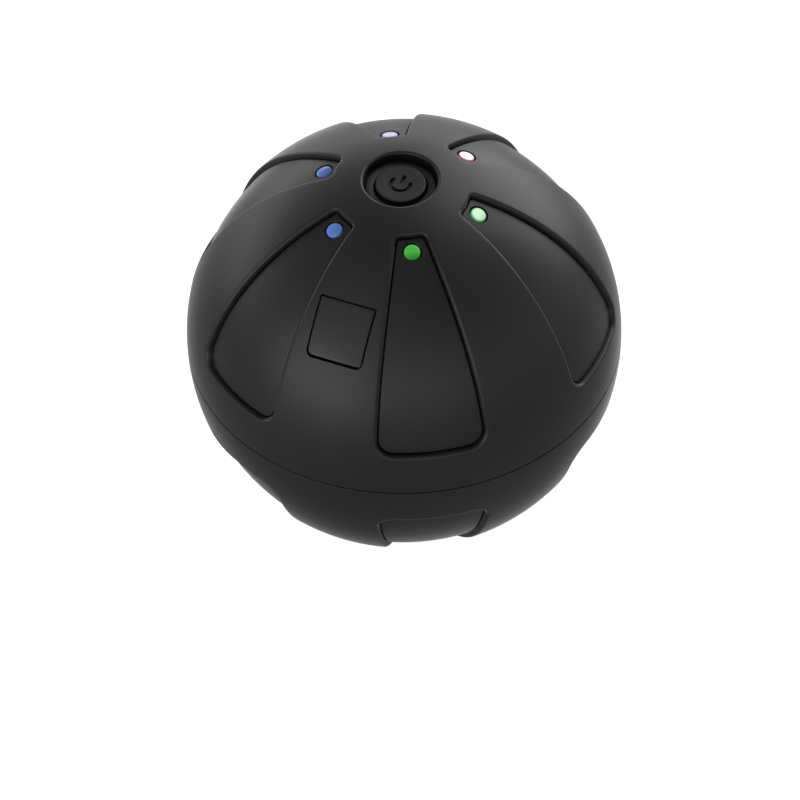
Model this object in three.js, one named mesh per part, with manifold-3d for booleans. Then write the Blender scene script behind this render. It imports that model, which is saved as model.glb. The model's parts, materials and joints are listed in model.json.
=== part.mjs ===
// Massage ball: a vibrating ball, 79 mm across, in a black rubber skin with sunken petals.
// Millimetres. +Z is up through the power button, the front petal faces -Y, and the origin
// is the centre of the ball. Polar angles are measured from the pole, azimuths from the front
// towards +X, both in degrees.

import * as THREE from "three";
import { mergeVertices } from "three/addons/utils/BufferGeometryUtils.js";
import Module from "manifold-3d";

const wasm = await Module();
wasm.setup();

// ---- Driving dimensions ----

// Layers of the ball, from the outside in.
const BALL_R = 39.5;
const SKIN_T = 3;
const SHELL_T = 2.2;
const FIT = 0.3; // gap between neighbouring pieces
const REST = 0.1; // gap under a piece that rests on another
const PAST = 1; // how far a cutting tool runs past what it cuts
const SEAM = 0.3; // groove between the two halves
const SKIN_IN = BALL_R - SKIN_T;
const SHELL_OUT = SKIN_IN - FIT;
const SHELL_IN = SHELL_OUT - SHELL_T;

// Sunken petals, six on each half.
const PETALS = 6;
const PETAL_DEPTH = 1;
const PETAL_TOP = 18.5; // polar angle of the narrow end
const PETAL_FOOT = 77.7; // polar angle of the wide end
const PETAL_HALF_TOP = 12; // half widths, in azimuth
const PETAL_HALF_FOOT = 15;
const PETAL_BULGE = 0.8; // how much further out a side is halfway down than a straight one
const PETAL_TOP_CORNER = 1;
const PETAL_FOOT_CORNER = 3.2;

// Button well at the top, and the flat foot at the bottom.
const WELL_R = 6.6;
const WELL_LIP = 0.53;
const WELL_FLOOR_Z = 37.15;
const WELL_RIM_Z = Math.sqrt(BALL_R ** 2 - (WELL_R + WELL_LIP) ** 2);
const CROWN_T = 1.25; // skin under the floor of the well, and over the foot
const FOOT_HOLE_R = 5.9;

// Power button and the switch under it.
const BUTTON_R = 4.5;
const BUTTON_GAP = 0.3;
const BUTTON_TOP_Z = 37.82;
const BUTTON_EDGE = 0.15;
const BUTTON_FLANGE = { radius: 6.2, bottom: 32.4, top: 33.1 };
const BUTTON_STEM_R = 1.8;
const SYMBOL_R = 1.73;
const SYMBOL_LINE = 0.7;
const SYMBOL_DEPTH = 0.6;
const SYMBOL_OPENING = 58; // half angle of the gap in the symbol's ring
const SYMBOL_STROKE = { from: 0.2, to: 2.2 };
const SYMBOL_TURN = -30; // the stroke of the symbol points to the back right
const SWITCH_SIZE = 6;
const SWITCH_TOP_Z = 31.5;
const PLUNGER = { radius: 1.6, bottom: 30.6, top: 32.2, travel: 0.9 };

// Control board, with the lamps on it and a light pipe over each.
const BOARD = { radius: 17, bottom: 26.4, top: 28 };
const BOARD_SCREW_REACH = 14.5;
const BOARD_SCREW_AZIMUTHS = [30, 150, 270];
const BOARD_BOSS_R = 2.2;
const LAMP_POLAR = 22.6;
const LAMP_SIZE = 1.6;
const LAMP_HEIGHT = 0.8;
const LAMP_REACH = 12;
const LENS_R = 1.45;
const LENS_SUNK = 0.15; // edge of the lens below the floor of the petal
const LENS_DOME = 0.25;
const PIPE_START = 31.9;

// Charging port, on the rib between the front petal and the one to its left.
const PORT_AZIMUTH = -30;
const PORT_POLAR = 45.7;
const COVER_W = 10;
const COVER_H = 10.4;
const COVER_T = 1.6;
const COVER_CORNER = 1;
const COVER_FOOT_GAP = 0.5; // wider than the other gaps, for a fingernail
const COVER_SIDES = 72; // of the balls that its two faces are cut from
const COVER_PAD = { halfWidth: 4.2, halfHeight: 1.5, thickness: 0.9 };
const SOCKET = { halfWidth: 4.47, halfHeight: 1.63, wall: 0.35, back: 29, front: 35.9 };
const TONGUE = { halfWidth: 3.3, halfHeight: 0.35, front: 35.3 };
const CHARGE_BOARD = { halfWidth: 5.5, low: -3, high: -1.95, back: 28.6, front: 33 };

// Motor, lying along X under the centre of the ball. Its own sizes are along its axis.
const MOTOR_Z = -10;
const CAN_R = 12.2;
const CAN_WALL = 1;
const CAN_BACK = -15.4;
const CAN_FRONT = 13;
const MOTOR_END = 15.4;
const SHAFT_R = 1;
const BORE_R = SHAFT_R + FIT;
const SHAFT_END = 24.6;
const MAGNET = { inner: 9.6, outer: 10.9, half: 65, back: -12, front: 8 };
const CORE = { back: -10, front: 7, hub: 3.2, neck: 1.4, shoe: 7.5, outer: 8.8, half: 50 };
const WEIGHT = { radius: 11, half: 80, hub: 3.4, near: 16.6, far: 23.6 };

// Chassis that clamps the motor and carries the battery cells.
const CHASSIS_X = 11;
const CHASSIS_Y = 15;
const CHASSIS_BOTTOM = -24.1;
const FLANGE_Y = 21;
const FLANGE_T = 2;
const TRAY = { x: 17.6, y: 18.5, bottom: 2.9, top: 4.5 };
const CELL = { radius: 8.15, length: 34.5, y: 8.45, z: 13.1 };

// Screws.
const SCREW_HEAD = { radius: 1.9, height: 1.4 };
const SHELL_SCREW = { azimuths: [0, 120, 240], reach: 29.6, seat: -10.4, end: 6, radius: 1.1 };
const SHELL_POST_R = 3.4;

// Sides of round pieces, and steps along the arcs of a section. The inside of the skins and
// the outside of the shells take the same steps, so that their facets stay apart.
const FINE = 36;
const MEDIUM = 20;
const COARSE = 10;
const OUTER_STEPS = 9;
const WALL_STEPS = 6;
const INNER_STEPS = 5;
const PETAL_COLUMNS = 4;
const PETAL_ROWS = [0, 0.006, 0.018, 0.2, 0.4, 0.6, 0.8, 0.92, 0.955, 0.985, 1];

// ---- Shapes ----

const rad = THREE.MathUtils.degToRad;

// Azimuth 0 is -Y and azimuth 90 is +X.
function around(reach, azimuth) {
  return [reach * Math.sin(rad(azimuth)), -reach * Math.cos(rad(azimuth))];
}

function onBall(radius, polar, azimuth) {
  const [x, y] = around(radius * Math.sin(rad(polar)), azimuth);
  return new THREE.Vector3(x, y, radius * Math.cos(rad(polar)));
}

// Turns local X, Y, Z to point sideways, up and outwards at a place on the ball.
function facing(polar, azimuth) {
  const out = onBall(1, polar, azimuth);
  const side = new THREE.Vector3(Math.cos(rad(azimuth)), Math.sin(rad(azimuth)), 0);
  return new THREE.Matrix4().makeBasis(side, out.clone().cross(side), out);
}

// Points of a half-section (radius, height) along a circle about the centre of the ball.
function arc(radius, fromPolar, toPolar, steps) {
  const points = [];
  for (let i = 0; i <= steps; i++) {
    const polar = rad(fromPolar + ((toPolar - fromPolar) * i) / steps);
    points.push(new THREE.Vector2(radius * Math.sin(polar), radius * Math.cos(polar)));
  }
  return points;
}

const polarAtHeight = (radius, z) => THREE.MathUtils.radToDeg(Math.acos(z / radius));
const polarAtReach = (radius, reach) => THREE.MathUtils.radToDeg(Math.asin(reach / radius));
const section = (pairs) => pairs.map(([r, z]) => new THREE.Vector2(r, z));
const closed = (points) => [...points, points[0].clone()];

// A half-section turned about Z. It starts and ends on the axis, or closes on itself.
const turned = (points, sides = MEDIUM) => new THREE.LatheGeometry(points, sides).rotateX(Math.PI / 2);

function rod(radius, bottom, top, sides = MEDIUM) {
  return turned(section([[0, bottom], [radius, bottom], [radius, top], [0, top]]), sides);
}

function ring(inner, outer, bottom, top, sides = MEDIUM) {
  return turned(
    section([[inner, bottom], [outer, bottom], [outer, top], [inner, top], [inner, bottom]]),
    sides,
  );
}

function block(x0, x1, y0, y1, z0, z1) {
  return new THREE.BoxGeometry(x1 - x0, y1 - y0, z1 - z0).translate(
    (x0 + x1) / 2,
    (y0 + y1) / 2,
    (z0 + z1) / 2,
  );
}

function extruded(shape, bottom, top, curveSegments = 6) {
  const settings = { depth: top - bottom, bevelEnabled: false, curveSegments };
  return new THREE.ExtrudeGeometry(shape, settings).translate(0, 0, bottom);
}

// A piece of a ring, its middle at an angle from X.
function ringPart(inner, outer, middle, half) {
  const shape = new THREE.Shape();
  shape.absarc(0, 0, outer, rad(middle - half), rad(middle + half));
  shape.absarc(0, 0, inner, rad(middle + half), rad(middle - half), true);
  return shape;
}

// A bar with round ends, lying along X.
function slotShape(halfWidth, halfHeight) {
  const straight = halfWidth - halfHeight;
  const shape = new THREE.Shape();
  shape.absarc(straight, 0, halfHeight, -Math.PI / 2, Math.PI / 2);
  shape.absarc(-straight, 0, halfHeight, Math.PI / 2, (3 * Math.PI) / 2);
  return shape;
}

// ---- Joining and cutting ----

// Closed geometry as a solid, facing out whichever way its triangles ran.
function solid(geometry) {
  const bare = geometry.clone();
  bare.deleteAttribute("normal");
  bare.deleteAttribute("uv");
  const merged = mergeVertices(bare, 1e-3);
  const corners = merged.index.array;
  const triangles = [];
  for (let i = 0; i < corners.length; i += 3) {
    const [a, b, c] = corners.slice(i, i + 3);
    if (a !== b && b !== c && c !== a) triangles.push(a, b, c);
  }
  const vertProperties = new Float32Array(merged.attributes.position.array);
  const build = (list) =>
    new wasm.Manifold(new wasm.Mesh({ numProp: 3, vertProperties, triVerts: Uint32Array.from(list) }));
  const made = build(triangles);
  return made.volume() > 0 ? made : build(triangles.reverse());
}

const join = (...bodies) => bodies.reduce((whole, body) => whole.add(body));
const cut = (body, ...tools) => tools.reduce((left, tool) => left.subtract(tool), body);
const ball = (radius, sides = FINE) => solid(new THREE.SphereGeometry(radius, sides, sides / 2));

const group = new THREE.Group();

function finish(color, roughness, metalness = 0) {
  return new THREE.MeshStandardMaterial({ color, roughness, metalness });
}

const RUBBER = finish(0x242625, 0.62);
const PLASTIC = finish(0x2f3132, 0.45);
const NATURAL_PLASTIC = finish(0xd8d5c8, 0.5);
const CIRCUIT = finish(0x14532f, 0.4);
const STEEL = finish(0xb4b7ba, 0.3, 1);
const ZINC = finish(0x8c9094, 0.45, 1);
const COPPER = finish(0xb06a3a, 0.35, 1);
const MAGNETIC = finish(0x3a3c40, 0.7);
const WRAPPER = finish(0x2c6e9e, 0.35);
const CLEAR = finish(0xeaf2f4, 0.1);

function addPiece(name, body, material, parent = group) {
  const { vertProperties, triVerts } = body.getMesh();
  const geometry = new THREE.BufferGeometry();
  geometry.setAttribute("position", new THREE.BufferAttribute(vertProperties, 3));
  geometry.setIndex(new THREE.BufferAttribute(triVerts, 1));
  geometry.computeVertexNormals();
  const mesh = new THREE.Mesh(geometry, material);
  mesh.name = name;
  parent.add(mesh);
}

// ---- Rubber skins ----

// How far a rounded corner pulls the side in, at a distance from the end of the petal.
function cornerInset(corner, distance) {
  if (distance >= corner) return 0;
  return corner - Math.sqrt(corner ** 2 - (corner - distance) ** 2);
}

function petalHalfWidth(polar) {
  const share = (polar - PETAL_TOP) / (PETAL_FOOT - PETAL_TOP);
  const straight = THREE.MathUtils.lerp(PETAL_HALF_TOP, PETAL_HALF_FOOT, share);
  const side = straight + 4 * PETAL_BULGE * share * (1 - share);
  const topInset = cornerInset(PETAL_TOP_CORNER, rad(polar - PETAL_TOP) * BALL_R);
  const footInset = cornerInset(PETAL_FOOT_CORNER, rad(PETAL_FOOT - polar) * BALL_R);
  const reach = BALL_R * Math.sin(rad(polar));
  return side - THREE.MathUtils.radToDeg((topInset + footInset) / reach);
}

// The space that one petal takes out of the skin: a grid on its floor and one above the skin.
function petalSpace(azimuth) {
  const polars = PETAL_ROWS.map((share) => THREE.MathUtils.lerp(PETAL_TOP, PETAL_FOOT, share));
  const columns = PETAL_COLUMNS;
  const positions = [];
  for (const radius of [BALL_R - PETAL_DEPTH, BALL_R + PETAL_DEPTH]) {
    for (const polar of polars) {
      const half = petalHalfWidth(polar);
      for (let j = 0; j <= columns; j++) {
        const point = onBall(radius, polar, azimuth + half * ((2 * j) / columns - 1));
        positions.push(point.x, point.y, point.z);
      }
    }
  }
  const across = columns + 1;
  const layer = polars.length * across;
  const index = [];
  const quad = (a, b, c, d) => index.push(a, b, c, a, c, d);
  for (let i = 0; i < polars.length - 1; i++) {
    for (let j = 0; j < columns; j++) {
      const a = i * across + j;
      quad(a, a + 1, a + across + 1, a + across);
      quad(layer + a, layer + a + across, layer + a + across + 1, layer + a + 1);
    }
    const left = i * across;
    const right = left + columns;
    quad(left, left + across, layer + left + across, layer + left);
    quad(right, layer + right, layer + right + across, right + across);
  }
  const last = layer - across;
  for (let j = 0; j < columns; j++) {
    quad(j, layer + j, layer + j + 1, j + 1);
    quad(last + j, last + j + 1, layer + last + j + 1, layer + last + j);
  }
  const geometry = new THREE.BufferGeometry();
  geometry.setAttribute("position", new THREE.Float32BufferAttribute(positions, 3));
  geometry.setIndex(index);
  return geometry;
}

const petalAzimuths = Array.from({ length: PETALS }, (_, k) => (k * 360) / PETALS);
const petalSpaces = petalAzimuths.map((azimuth) => solid(petalSpace(azimuth)));

const seamAt = (radius) => polarAtHeight(radius, SEAM / 2);
const rimPolar = polarAtReach(BALL_R, WELL_R + WELL_LIP);
const crownUnder = WELL_FLOOR_Z - CROWN_T;

function skinSection(poleEdge) {
  return closed([
    ...arc(BALL_R, seamAt(BALL_R), rimPolar, OUTER_STEPS),
    ...poleEdge,
    ...arc(SKIN_IN, polarAtHeight(SKIN_IN, crownUnder), seamAt(SKIN_IN), WALL_STEPS),
  ]);
}

const port = new THREE.Group();
port.applyMatrix4(facing(PORT_POLAR, PORT_AZIMUTH));
group.add(port);

// A tool made in a place's own axes, moved into the ball's.
const inPlace = (geometry, polar, azimuth) => solid(geometry.applyMatrix4(facing(polar, azimuth)));
const pipeHole = (azimuth) =>
  inPlace(rod(LENS_R + FIT, SHELL_IN - 2 * PAST, BALL_R + PAST, COARSE), LAMP_POLAR, azimuth);

function upperSkin() {
  const holeR = BUTTON_R + BUTTON_GAP;
  const lip = [20, 45, 70, 90].map((turn) => [
    WELL_R + WELL_LIP * (1 - Math.sin(rad(turn))),
    WELL_RIM_Z - WELL_LIP * (1 - Math.cos(rad(turn))),
  ]);
  const well = section([...lip, [WELL_R, WELL_FLOOR_Z], [holeR, WELL_FLOOR_Z], [holeR, crownUnder]]);
  const halfW = COVER_W / 2 + FIT;
  const opening = block(
    -halfW,
    halfW,
    -COVER_H / 2 - COVER_FOOT_GAP,
    COVER_H / 2 + FIT,
    SKIN_IN - PAST,
    BALL_R + PAST,
  );
  return cut(
    solid(turned(skinSection(well), FINE)),
    ...petalSpaces,
    ...petalAzimuths.map(pipeHole),
    inPlace(opening, PORT_POLAR, PORT_AZIMUTH),
  );
}

function lowerSkin() {
  const foot = section([[FOOT_HOLE_R, WELL_RIM_Z], [FOOT_HOLE_R, crownUnder]]);
  const whole = cut(solid(turned(skinSection(foot), FINE)), ...petalSpaces);
  return mirroredDown(whole);
}

function mirroredDown(body) {
  const { vertProperties, triVerts } = body.getMesh();
  const geometry = new THREE.BufferGeometry();
  geometry.setAttribute("position", new THREE.BufferAttribute(vertProperties, 3));
  geometry.setIndex(new THREE.BufferAttribute(triVerts, 1));
  return solid(geometry.scale(1, 1, -1));
}

addPiece("upper_skin", upperSkin(), RUBBER);
addPiece("lower_skin", lowerSkin(), RUBBER);

// ---- Hard shells ----

const SHELL_CROWN_Z = crownUnder - FIT;
const SEAM_RIM = { inner: 32, height: 3.5, slope: 1 };
const SEAL = { inner: 34.1, outer: 35.1, half: 0.75 };
const rimTopPolar = polarAtHeight(SHELL_IN, SEAM_RIM.height);

// Half-section of a shell, with a thicker rim at the seam and a groove in it for the seal.
function shellSection(holeR, crown) {
  const edge = SEAM / 2;
  const groove = [
    [SEAM_RIM.inner, SEAM_RIM.height - SEAM_RIM.slope],
    [SEAM_RIM.inner, edge],
    [SEAL.inner - FIT, edge],
    [SEAL.inner - FIT, SEAL.half + FIT],
    [SEAL.outer + FIT, SEAL.half + FIT],
    [SEAL.outer + FIT, edge],
  ];
  return closed([
    ...arc(SHELL_OUT, seamAt(SHELL_OUT), polarAtHeight(SHELL_OUT, SHELL_CROWN_Z), WALL_STEPS),
    ...section(crown),
    ...arc(SHELL_IN, polarAtReach(SHELL_IN, holeR), rimTopPolar, INNER_STEPS),
    ...section(groove),
  ]);
}

const INSIDE_WALL = ball((SHELL_OUT + SHELL_IN) / 2, MEDIUM);

// A post that grows out of the shell's wall.
function post(azimuth, reach, radius, bottom, top) {
  const [x, y] = around(reach, azimuth);
  return solid(rod(radius, bottom, top, COARSE).translate(x, y, 0)).intersect(INSIDE_WALL);
}

function drilling(azimuth, reach, radius, bottom, top) {
  const [x, y] = around(reach, azimuth);
  return solid(rod(radius, bottom, top, COARSE).translate(x, y, 0));
}

const shellPosts = (bottom, top) =>
  SHELL_SCREW.azimuths.map((azimuth) => post(azimuth, SHELL_SCREW.reach, SHELL_POST_R, bottom, top));
const shellScrewHoles = (bottom, top, radius) =>
  SHELL_SCREW.azimuths.map((azimuth) => drilling(azimuth, SHELL_SCREW.reach, radius, bottom, top));

const BOARD_SCREW = { radius: 0.9, head: 24.9, seat: 26.1, end: 31.5 };

function upperShell() {
  const holeR = BUTTON_R + BUTTON_GAP;
  const crown = [[holeR, SHELL_CROWN_Z]];
  const bosses = BOARD_SCREW_AZIMUTHS.map((azimuth) =>
    post(azimuth, BOARD_SCREW_REACH, BOARD_BOSS_R, BOARD.top + FIT, SHELL_OUT),
  );
  const bossHoles = BOARD_SCREW_AZIMUTHS.map((azimuth) =>
    drilling(azimuth, BOARD_SCREW_REACH, BOARD_SCREW.radius + FIT, BOARD.top, BOARD_SCREW.end + FIT),
  );
  const mouth = slotShape(SOCKET.halfWidth + FIT, SOCKET.halfHeight + FIT);
  const whole = join(
    solid(turned(shellSection(holeR, crown), FINE)),
    ...shellPosts(SEAM / 2, SHELL_OUT),
    ...bosses,
  );
  return cut(
    whole,
    ...petalAzimuths.map(pipeHole),
    ...bossHoles,
    ...shellScrewHoles(-PAST, SHELL_SCREW.end + FIT, SHELL_SCREW.radius + FIT),
    inPlace(extruded(mouth, SHELL_IN - 4 * PAST, SHELL_OUT + PAST), PORT_POLAR, PORT_AZIMUTH),
  );
}

const FOOT_SCREW = { radius: 1.1, head: -35.4, seat: -34, end: -26 };
const PEDESTAL = { radius: 6, top: -31.8 };
const CRADLE = { x: 8, half: 1, reach: 13 }; // two ribs in the lower shell carry the chassis

function lowerShell() {
  const holeR = FOOT_SCREW.radius + FIT;
  const crown = [[holeR, SHELL_CROWN_Z]];
  const { half, reach } = CRADLE;
  const ribTop = CHASSIS_BOTTOM - FIT;
  const ribs = [-CRADLE.x, CRADLE.x].map((x) =>
    solid(block(x - half, x + half, -reach, reach, -SHELL_OUT, ribTop)).intersect(INSIDE_WALL),
  );
  const whole = join(
    mirroredDown(solid(turned(shellSection(holeR, crown), FINE))),
    ...shellPosts(-SHELL_OUT, -SEAM / 2),
    ...ribs,
    cut(
      solid(rod(PEDESTAL.radius, -SHELL_OUT, PEDESTAL.top)).intersect(INSIDE_WALL),
      solid(rod(holeR, -SHELL_OUT - PAST, PEDESTAL.top + PAST, COARSE)),
    ),
  );
  const headRoom = SCREW_HEAD.radius + FIT;
  return cut(
    whole,
    ...shellScrewHoles(-SHELL_OUT, PAST, SHELL_SCREW.radius + FIT),
    ...shellScrewHoles(-SHELL_OUT, SHELL_SCREW.seat + FIT, headRoom),
    solid(rod(headRoom, -SHELL_OUT - PAST, FOOT_SCREW.seat + FIT, COARSE)),
  );
}

addPiece("upper_shell", upperShell(), PLASTIC);
addPiece("lower_shell", lowerShell(), PLASTIC);
addPiece("seam_seal", solid(ring(SEAL.inner, SEAL.outer, -SEAL.half, SEAL.half, FINE)), RUBBER);

// A screw along Z, its head at the low end.
function screw(radius, head, seat, end) {
  const outline = [[0, head], [SCREW_HEAD.radius, head], [SCREW_HEAD.radius, seat]];
  return solid(turned(section([...outline, [radius, seat], [radius, end], [0, end]]), COARSE));
}

function addScrew(name, body, x, y) {
  addPiece(name, body, STEEL);
  group.children.at(-1).position.set(x, y, 0);
}

SHELL_SCREW.azimuths.forEach((azimuth, k) => {
  const head = SHELL_SCREW.seat - SCREW_HEAD.height;
  const body = screw(SHELL_SCREW.radius, head, SHELL_SCREW.seat, SHELL_SCREW.end);
  addScrew("shell_screw_" + (k + 1), body, ...around(SHELL_SCREW.reach, azimuth));
});

// ---- Foot cap ----

const footCap = section([
  [0, -WELL_RIM_Z],
  [FOOT_HOLE_R - FIT, -WELL_RIM_Z],
  [FOOT_HOLE_R - FIT, -SHELL_OUT - FIT],
  [0, -SHELL_OUT - FIT],
]);
addPiece("foot_cap", solid(turned(footCap, FINE)), RUBBER);
addScrew("foot_screw", screw(FOOT_SCREW.radius, FOOT_SCREW.head, FOOT_SCREW.seat, FOOT_SCREW.end), 0, 0);

// ---- Power button and switch ----

// A ring open at the top, with a stroke through the opening.
function powerSymbol() {
  const outer = SYMBOL_R + SYMBOL_LINE / 2;
  const inner = SYMBOL_R - SYMBOL_LINE / 2;
  const bottom = BUTTON_TOP_Z - SYMBOL_DEPTH;
  const arms = ringPart(inner, outer, -90, 180 - SYMBOL_OPENING);
  const top = BUTTON_TOP_Z + PAST;
  const curve = extruded(arms, bottom, top, 7);
  const half = SYMBOL_LINE / 2;
  const stroke = block(-half, half, SYMBOL_STROKE.from, SYMBOL_STROKE.to, bottom, top);
  return [curve, stroke].map((shape) => solid(shape.rotateZ(rad(SYMBOL_TURN))));
}

function powerButton() {
  const { radius, bottom, top } = BUTTON_FLANGE;
  const foot = PLUNGER.top + REST;
  const outline = section([
    [0, foot],
    [BUTTON_STEM_R, foot],
    [BUTTON_STEM_R, bottom],
    [radius, bottom],
    [radius, top],
    [BUTTON_R, top],
    [BUTTON_R, BUTTON_TOP_Z - BUTTON_EDGE],
    [BUTTON_R - BUTTON_EDGE, BUTTON_TOP_Z],
    [0, BUTTON_TOP_Z],
  ]);
  return cut(solid(turned(outline, MEDIUM)), ...powerSymbol());
}

addPiece("power_button", powerButton(), RUBBER);

function switchBody() {
  const half = SWITCH_SIZE / 2;
  const holeFloor = PLUNGER.bottom - PLUNGER.travel;
  return cut(
    solid(block(-half, half, -half, half, BOARD.top + REST, SWITCH_TOP_Z)),
    solid(rod(PLUNGER.radius + FIT, holeFloor, SWITCH_TOP_Z + PAST, COARSE)),
  );
}

function switchPlunger() {
  return solid(rod(PLUNGER.radius, PLUNGER.bottom, PLUNGER.top, COARSE));
}

addPiece("switch_body", switchBody(), PLASTIC);
addPiece("switch_plunger", switchPlunger(), NATURAL_PLASTIC);

// ---- Control board, lamps and light pipes ----

const boardHoleR = BOARD_SCREW.radius + FIT;
const boardHoles = BOARD_SCREW_AZIMUTHS.map((azimuth) =>
  drilling(azimuth, BOARD_SCREW_REACH, boardHoleR, BOARD.bottom - PAST, BOARD.top + PAST),
);
const boardDisc = solid(rod(BOARD.radius, BOARD.bottom, BOARD.top, MEDIUM));
addPiece("control_board", cut(boardDisc, ...boardHoles), CIRCUIT);
BOARD_SCREW_AZIMUTHS.forEach((azimuth, k) => {
  const body = screw(BOARD_SCREW.radius, BOARD_SCREW.head, BOARD_SCREW.seat, BOARD_SCREW.end);
  addScrew("board_screw_" + (k + 1), body, ...around(BOARD_SCREW_REACH, azimuth));
});

const lensEdge = BALL_R - PETAL_DEPTH - LENS_SUNK;
const LENS_COLOURS = [0x2fd35b, 0xa9e8bf, 0xf4f4f6, 0xc9d8f2, 0x3a63e0, 0x5b7fe8];
const lampFoot = BOARD.top + REST;

petalAzimuths.forEach((azimuth, k) => {
  const [x, y] = around(LAMP_REACH, azimuth);
  const size = LAMP_SIZE / 2;
  const lamp = block(-size, size, -size, size, lampFoot, lampFoot + LAMP_HEIGHT);
  addPiece("lamp_" + (k + 1), solid(lamp.rotateZ(rad(azimuth)).translate(x, y, 0)), NATURAL_PLASTIC);

  const holder = new THREE.Group();
  holder.applyMatrix4(facing(LAMP_POLAR, azimuth));
  group.add(holder);
  const pipe = section([
    [0, PIPE_START],
    [LENS_R, PIPE_START],
    [LENS_R, lensEdge],
    [LENS_R * Math.SQRT1_2, lensEdge + LENS_DOME * Math.SQRT1_2],
    [0, lensEdge + LENS_DOME],
  ]);
  const clear = finish(LENS_COLOURS[k], 0.15);
  addPiece("light_pipe_" + (k + 1), solid(turned(pipe, COARSE)), clear, holder);
});

// ---- Charging port ----

// A square with rounded lower corners.
function coverShape() {
  const x = COVER_W / 2;
  const y = COVER_H / 2;
  const corner = COVER_CORNER;
  const shape = new THREE.Shape();
  shape.moveTo(x, y);
  shape.lineTo(-x, y);
  shape.absarc(-x + corner, -y + corner, corner, Math.PI, 1.5 * Math.PI);
  shape.absarc(x - corner, -y + corner, corner, 1.5 * Math.PI, 2 * Math.PI);
  return shape;
}

// Local Z is the distance from the centre of the ball.
function portCover() {
  const inner = BALL_R - COVER_T;
  const panel = solid(extruded(coverShape(), inner - 2 * PAST, BALL_R + PAST, 3));
  const outline = slotShape(COVER_PAD.halfWidth, COVER_PAD.halfHeight);
  const pad = solid(extruded(outline, inner - COVER_PAD.thickness, inner + FIT, 3));
  return join(cut(panel.intersect(ball(BALL_R, COVER_SIDES)), ball(inner, COVER_SIDES)), pad);
}

function chargeSocket() {
  const { halfWidth, halfHeight, wall, back, front } = SOCKET;
  const outside = solid(extruded(slotShape(halfWidth, halfHeight), back, front, 5));
  const inside = slotShape(halfWidth - wall, halfHeight - wall);
  return cut(outside, solid(extruded(inside, back + 2 * wall, front + PAST, 5)));
}

function socketTongue() {
  const { halfWidth, halfHeight, front } = TONGUE;
  const back = SOCKET.back + 2 * SOCKET.wall + FIT;
  return solid(block(-halfWidth, halfWidth, -halfHeight, halfHeight, back, front));
}

function chargeBoard() {
  const { halfWidth, low, high, back, front } = CHARGE_BOARD;
  return solid(block(-halfWidth, halfWidth, low, high, back, front));
}

addPiece("port_cover", portCover(), RUBBER, port);
addPiece("charge_socket", chargeSocket(), STEEL, port);
addPiece("socket_tongue", socketTongue(), PLASTIC, port);
addPiece("charge_board", chargeBoard(), CIRCUIT, port);

// ---- Motor and eccentric weights ----

// The motor's own Z lies along the ball's X, and its own X points down.
const motor = new THREE.Group();
motor.rotation.y = Math.PI / 2;
motor.position.z = MOTOR_Z;
group.add(motor);

const BEARING = { radius: 2, length: 2.2, proud: 0.4 };
const CAP_SPIGOT = 1.4; // depth of the end cap's ring inside the can
const bearingHole = BEARING.radius + FIT;
const canInner = CAN_R - CAN_WALL;

const canSection = section([
  [bearingHole, CAN_BACK],
  [CAN_R, CAN_BACK],
  [CAN_R, CAN_FRONT],
  [canInner, CAN_FRONT],
  [canInner, CAN_BACK + CAN_WALL],
  [bearingHole, CAN_BACK + CAN_WALL],
  [bearingHole, CAN_BACK],
]);
const capSection = section([
  [bearingHole, CAN_FRONT + FIT],
  [MAGNET.inner, CAN_FRONT + FIT],
  [MAGNET.inner, CAN_FRONT - CAP_SPIGOT],
  [canInner - FIT, CAN_FRONT - CAP_SPIGOT],
  [canInner - FIT, CAN_FRONT + FIT],
  [CAN_R, CAN_FRONT + FIT],
  [CAN_R, MOTOR_END],
  [bearingHole, MOTOR_END],
  [bearingHole, CAN_FRONT + FIT],
]);
addPiece("motor_can", solid(turned(canSection)), STEEL, motor);
addPiece("motor_end_cap", solid(turned(capSection)), PLASTIC, motor);
addPiece("motor_shaft", solid(rod(SHAFT_R, -SHAFT_END, SHAFT_END, COARSE)), STEEL, motor);

const bearingBacks = [
  ["left", CAN_BACK - BEARING.proud],
  ["right", MOTOR_END - BEARING.length + BEARING.proud],
];
for (const [side, back] of bearingBacks) {
  const body = solid(ring(BORE_R, BEARING.radius, back, back + BEARING.length, COARSE));
  addPiece("bearing_" + side, body, COPPER, motor);
}

[90, -90].forEach((middle, k) => {
  const outline = ringPart(MAGNET.inner, MAGNET.outer, middle, MAGNET.half);
  addPiece("magnet_" + (k + 1), solid(extruded(outline, MAGNET.back, MAGNET.front)), MAGNETIC, motor);
});

const POLES = [0, 120, 240];

// Three poles on a hub, each a neck with a curved shoe.
function armatureCore() {
  const { hub, neck, shoe, outer, half, back, front } = CORE;
  const sunk = 0.5; // how far the ends of a neck reach into what they join
  const poles = POLES.flatMap((turn) => [
    solid(block(hub - sunk, shoe + sunk, -neck, neck, back, front).rotateZ(rad(turn))),
    solid(extruded(ringPart(shoe, outer, turn, half), back, front)),
  ]);
  return join(solid(ring(BORE_R, hub, back, front)), ...poles);
}

// Copper that fills the slots between the poles and turns round their ends.
function armatureWindings() {
  const overhang = 1.6;
  const inner = CORE.hub + FIT;
  const outer = CORE.shoe - FIT;
  const copper = solid(ring(inner, outer, CORE.back - overhang, CORE.front + overhang));
  const side = CORE.neck + FIT;
  const necks = POLES.map((turn) =>
    solid(block(0, outer + PAST, -side, side, CORE.back - FIT, CORE.front + FIT).rotateZ(rad(turn))),
  );
  return cut(copper, ...necks);
}

const COMMUTATOR = { radius: 2.8, back: 9, front: 12.2 };
const BRUSH = { half: 1, length: 1.8, back: 9.4, front: 11.8 };

function commutator() {
  return solid(ring(BORE_R, COMMUTATOR.radius, COMMUTATOR.back, COMMUTATOR.front));
}

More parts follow.
